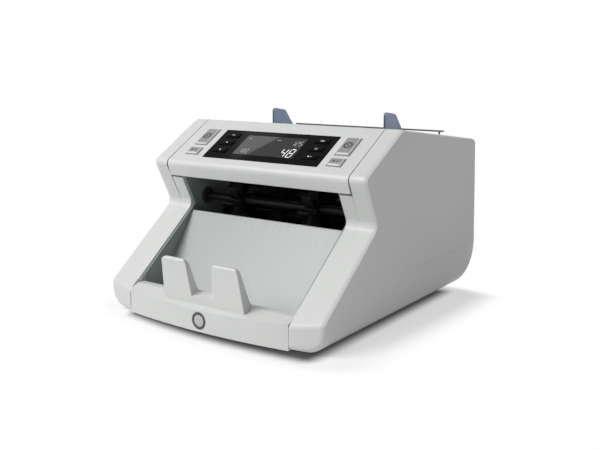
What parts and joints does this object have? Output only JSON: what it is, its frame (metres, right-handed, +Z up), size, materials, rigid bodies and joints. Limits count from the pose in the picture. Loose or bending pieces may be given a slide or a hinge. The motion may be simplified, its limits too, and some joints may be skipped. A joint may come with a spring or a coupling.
{
  "type": "banknote counter",
  "caption": "Desktop banknote counter with a sloped control panel, top hopper with sliding guides, bladed stacker wheels and a front pocket with upright prongs.",
  "frame": {"origin": "floor plane under the middle of the machine's footprint", "axes": "+X to the machine's right as seen from the front user's side, +Y from the front to the back, +Z up"},
  "size_m": [0.253, 0.3109, 0.1895],
  "materials": {
    "shell": "fine satin grain",
    "shell_inner": "satin",
    "dark_steel": "matte black paint",
    "dark_plastic": "matte",
    "ramp": "satin",
    "control_glass": "polished",
    "display": "gloss",
    "board": "satin",
    "bush": "sintered",
    "steel": "ground",
    "rubber": "matte",
    "motor": "satin",
    "supply": "sheet",
    "inlet": "satin",
    "badge": "satin",
    "button": "satin",
    "key": "gloss",
    "guide": "translucent",
    "rail": "satin"
  },
  "bodies": {
    "case": {"base_pan": "shell", "left_side_cover": "shell", "right_side_cover": "shell", "top_cover": "shell", "left_cheek": "shell", "right_cheek": "shell", "front_panel": "shell", "badge": "badge", "pocket_ramp": "ramp", "divider": "dark_plastic", "back_panel": "shell", "left_chassis": "dark_steel", "right_chassis": "dark_steel", "hopper_front": "dark_plastic", "control_glass": "control_glass", "display_module": "display", "control_board": "board", "shaft_bushes": "bush", "fixed_axles": "steel", "retard_sleeves": "rubber", "feed_motor": "motor", "stacker_motor": "motor", "feed_belts": "rubber", "stacker_belt": "rubber", "sensor_bar": "dark_plastic", "main_board": "board", "power_supply": "supply", "mains_inlet": "inlet", "feet": "rubber", "base_screws": "steel", "hinge_pins": "steel"},
    "rear_cover": {"rear_cover": "shell_inner", "guide_rod": "steel", "rear_rail": "rail"},
    "left_guide": {"left_guide": "guide"},
    "right_guide": {"right_guide": "guide"},
    "pickup": {"pickup_shaft": "steel", "pickup_rollers": "rubber"},
    "feed": {"feed_shaft": "steel", "feed_rollers": "rubber"},
    "transport": {"transport_shaft": "steel", "transport_rollers": "rubber", "timing_disc": "dark_plastic"},
    "idlers": {"idler_rollers": "dark_plastic"},
    "stacker": {"stacker_shaft": "steel", "stacker_wheels": "dark_plastic"},
    "feed_motor_pulley": {"feed_motor_pulley": "steel"},
    "stacker_motor_pulley": {"stacker_motor_pulley": "steel"},
    "power_rocker": {"power_rocker": "inlet"},
    "left_tall_button": {"left_tall_button": "button"},
    "left_short_button": {"left_short_button": "button"},
    "right_tall_button": {"right_tall_button": "button"},
    "right_short_button": {"right_short_button": "button"},
    "left_key_1": {"left_key_1": "key"},
    "left_key_2": {"left_key_2": "key"},
    "left_key_3": {"left_key_3": "key"},
    "right_key_1": {"right_key_1": "key"},
    "right_key_2": {"right_key_2": "key"},
    "right_key_3": {"right_key_3": "key"}
  },
  "joints": [
    {"name": "rear_cover_hinge", "type": "hinge", "parent": "case", "child": "rear_cover", "pos_m": [0, 0.14775, 0.0912], "axis": [-1, 0, 0], "range_deg": [0, 65]},
    {"name": "left_guide_slide", "type": "slide", "parent": "rear_cover", "child": "left_guide", "axis": [-1, 0, 0], "range_m": [-0.014, 0.011]},
    {"name": "right_guide_slide", "type": "slide", "parent": "rear_cover", "child": "right_guide", "axis": [1, 0, 0], "range_m": [-0.014, 0.011]},
    {"name": "feed_spin", "type": "hinge", "parent": "case", "child": "feed", "pos_m": [0, 0.00775, 0.112], "axis": [1, 0, 0], "continuous": true},
    {"name": "pickup_spin", "type": "hinge", "parent": "case", "child": "pickup", "pos_m": [0, 0.04075, 0.1195], "axis": [1, 0, 0], "continuous": true},
    {"name": "transport_spin", "type": "hinge", "parent": "case", "child": "transport", "pos_m": [0, -0.00525, 0.084], "axis": [1, 0, 0], "continuous": true},
    {"name": "idlers_spin", "type": "hinge", "parent": "case", "child": "idlers", "pos_m": [0, -0.01775, 0.0705], "axis": [1, 0, 0], "continuous": true},
    {"name": "feed_motor_pulley_spin", "type": "hinge", "parent": "case", "child": "feed_motor_pulley", "pos_m": [0, 0.08075, 0.046], "axis": [1, 0, 0], "continuous": true},
    {"name": "stacker_spin", "type": "hinge", "parent": "case", "child": "stacker", "pos_m": [0, -0.03725, 0.102], "axis": [1, 0, 0], "continuous": true},
    {"name": "stacker_motor_pulley_spin", "type": "hinge", "parent": "case", "child": "stacker_motor_pulley", "pos_m": [0, -0.05525, 0.036], "axis": [1, 0, 0], "continuous": true},
    {"name": "power_switch", "type": "hinge", "parent": "case", "child": "power_rocker", "pos_m": [0.0253, 0.14587, 0.05954], "axis": [1, 0, 0], "range_deg": [0, 14]},
    {"name": "left_tall_button_press", "type": "slide", "parent": "case", "child": "left_tall_button", "axis": [0, 0.5104, -0.8599], "range_m": [0, 0.001], "stiffness_N_per_m": 300},
    {"name": "left_short_button_press", "type": "slide", "parent": "case", "child": "left_short_button", "axis": [0, 0.5104, -0.8599], "range_m": [0, 0.001], "stiffness_N_per_m": 300},
    {"name": "right_tall_button_press", "type": "slide", "parent": "case", "child": "right_tall_button", "axis": [0, 0.5104, -0.8599], "range_m": [0, 0.001], "stiffness_N_per_m": 300},
    {"name": "right_short_button_press", "type": "slide", "parent": "case", "child": "right_short_button", "axis": [0, 0.5104, -0.8599], "range_m": [0, 0.001], "stiffness_N_per_m": 300},
    {"name": "left_key_1_press", "type": "slide", "parent": "case", "child": "left_key_1", "axis": [0, 0.5104, -0.8599], "range_m": [0, 0.0008], "stiffness_N_per_m": 300},
    {"name": "left_key_2_press", "type": "slide", "parent": "case", "child": "left_key_2", "axis": [0, 0.5104, -0.8599], "range_m": [0, 0.0008], "stiffness_N_per_m": 300},
    {"name": "left_key_3_press", "type": "slide", "parent": "case", "child": "left_key_3", "axis": [0, 0.5104, -0.8599], "range_m": [0, 0.0008], "stiffness_N_per_m": 300},
    {"name": "right_key_1_press", "type": "slide", "parent": "case", "child": "right_key_1", "axis": [0, 0.5104, -0.8599], "range_m": [0, 0.0008], "stiffness_N_per_m": 300},
    {"name": "right_key_2_press", "type": "slide", "parent": "case", "child": "right_key_2", "axis": [0, 0.5104, -0.8599], "range_m": [0, 0.0008], "stiffness_N_per_m": 300},
    {"name": "right_key_3_press", "type": "slide", "parent": "case", "child": "right_key_3", "axis": [0, 0.5104, -0.8599], "range_m": [0, 0.0008], "stiffness_N_per_m": 300}
  ],
  "couplings": [
    {"joint": "pickup_spin", "follows": "feed_spin", "ratio": 1},
    {"joint": "transport_spin", "follows": "feed_spin", "ratio": 1},
    {"joint": "feed_motor_pulley_spin", "follows": "feed_spin", "ratio": 1},
    {"joint": "idlers_spin", "follows": "feed_spin", "ratio": -1.5718},
    {"joint": "stacker_motor_pulley_spin", "follows": "stacker_spin", "ratio": 1}
  ]
}
